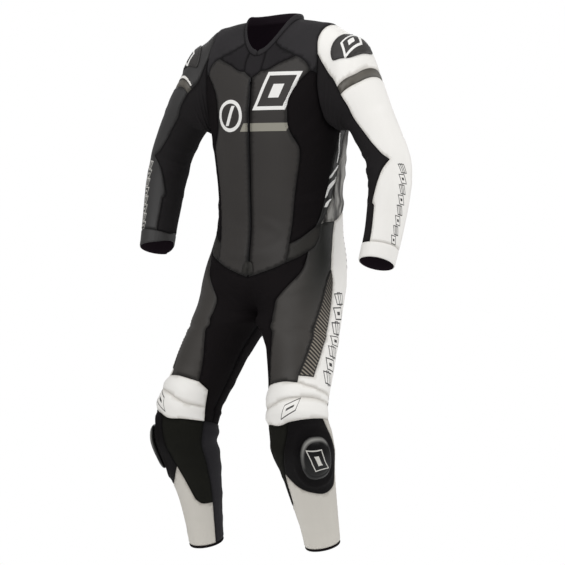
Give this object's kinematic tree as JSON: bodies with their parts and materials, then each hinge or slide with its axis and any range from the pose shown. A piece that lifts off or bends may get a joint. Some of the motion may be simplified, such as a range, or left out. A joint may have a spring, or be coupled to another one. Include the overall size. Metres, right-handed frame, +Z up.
{
  "type": "motorcycle race suit",
  "caption": "One-piece leather and stretch race suit, hollow and open at neck, cuffs and ankles, in a worn standing pose, with ribbed thigh panels and knee sliders.",
  "frame": {"origin": "centre of the shoulder line, between the tops of the wearer's shoulders, where the wearer carries the suit", "axes": "+X is the wearer's left, the chest faces -Y, +Z is up"},
  "size_m": [0.8199, 0.3598, 1.3728],
  "materials": {
    "black_leather": "smooth, satin",
    "white_leather": "smooth, satin",
    "grey_leather": "smooth, satin",
    "silver_print": "black with slanted silver marks",
    "stretch_black": "matt woven stretch cloth",
    "yoke_cloth": "matt cloth",
    "shin_cloth": "matt woven stretch cloth",
    "rib_cloth": "ribbed leather and stretch cloth",
    "slider_plastic": "moulded, slightly glossy",
    "zip": "moulded teeth on a woven tape"
  },
  "bodies": {
    "root": {"front_panel_left": "black_leather", "front_panel_right": "black_leather", "shoulder_panel_left": "black_leather", "shoulder_panel_right": "black_leather", "hip_band_left": "black_leather", "hip_band_right": "black_leather", "thigh_front_left": "black_leather", "thigh_front_right": "black_leather", "slider_backing_left": "black_leather", "slider_backing_right": "black_leather", "back_panel": "black_leather", "seat": "black_leather", "zip_guard": "black_leather", "shoulder_cap_right": "black_leather", "sleeve_right": "black_leather", "arm_cuff_right": "black_leather", "shoulder_shield_left": "black_leather", "shoulder_shield_right": "black_leather", "outer_thigh_left": "white_leather", "outer_thigh_right": "white_leather", "knee_upper_left": "white_leather", "knee_upper_right": "white_leather", "knee_lower_left": "white_leather", "knee_lower_right": "white_leather", "shin_left": "white_leather", "shin_right": "white_leather", "shoulder_cap_left": "white_leather", "sleeve_left": "white_leather", "arm_cuff_left": "white_leather", "sleeve_band_left": "grey_leather", "sleeve_band_right": "grey_leather", "flank_strip_left": "silver_print", "flank_strip_right": "silver_print", "side_stretch_left": "stretch_black", "side_stretch_right": "stretch_black", "thigh_back_left": "stretch_black", "thigh_back_right": "stretch_black", "calf_left": "stretch_black", "calf_right": "stretch_black", "inner_sleeve_left": "stretch_black", "inner_sleeve_right": "stretch_black", "leg_cuff_left": "stretch_black", "leg_cuff_right": "stretch_black", "groin": "stretch_black", "lumbar": "stretch_black", "chest_yoke_left": "yoke_cloth", "chest_yoke_right": "yoke_cloth", "garage": "yoke_cloth", "collar": "yoke_cloth", "shin_fabric_left": "shin_cloth", "shin_fabric_right": "shin_cloth", "ribbed_panel_left": "rib_cloth", "ribbed_panel_right": "rib_cloth", "knee_slider_left": "slider_plastic", "knee_slider_right": "slider_plastic", "zip": "zip"}
  },
  "joints": []
}
